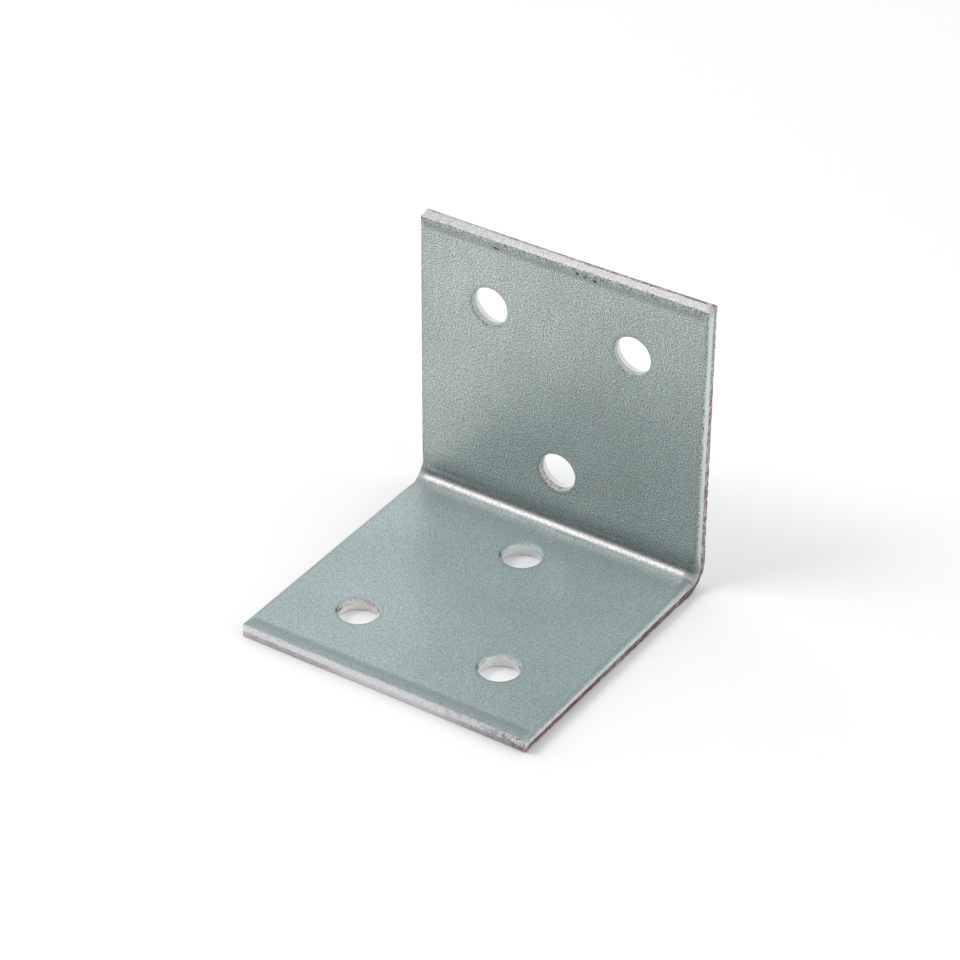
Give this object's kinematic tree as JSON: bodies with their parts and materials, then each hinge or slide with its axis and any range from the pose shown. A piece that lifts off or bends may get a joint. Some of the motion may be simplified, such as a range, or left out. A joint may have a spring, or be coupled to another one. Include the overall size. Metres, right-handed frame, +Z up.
{
  "type": "angle bracket",
  "caption": "Right-angle bracket folded from one zinc-coated steel sheet, with punched screw holes in both leaves, to join two faces at a corner.",
  "frame": {"origin": "on the underside, at the middle of the part's bounding box", "axes": "+Z up along the upright leaf, -Y towards the flat leaf's free edge, +Y out of the upright leaf's outer face, X along the fold"},
  "size_m": [0.0406, 0.0396, 0.0394],
  "materials": {
    "zinc_steel": "dull zinc coating, bare smooth and torn bands on the sheared edges"
  },
  "bodies": {
    "root": {"bracket": "zinc_steel"}
  },
  "joints": []
}
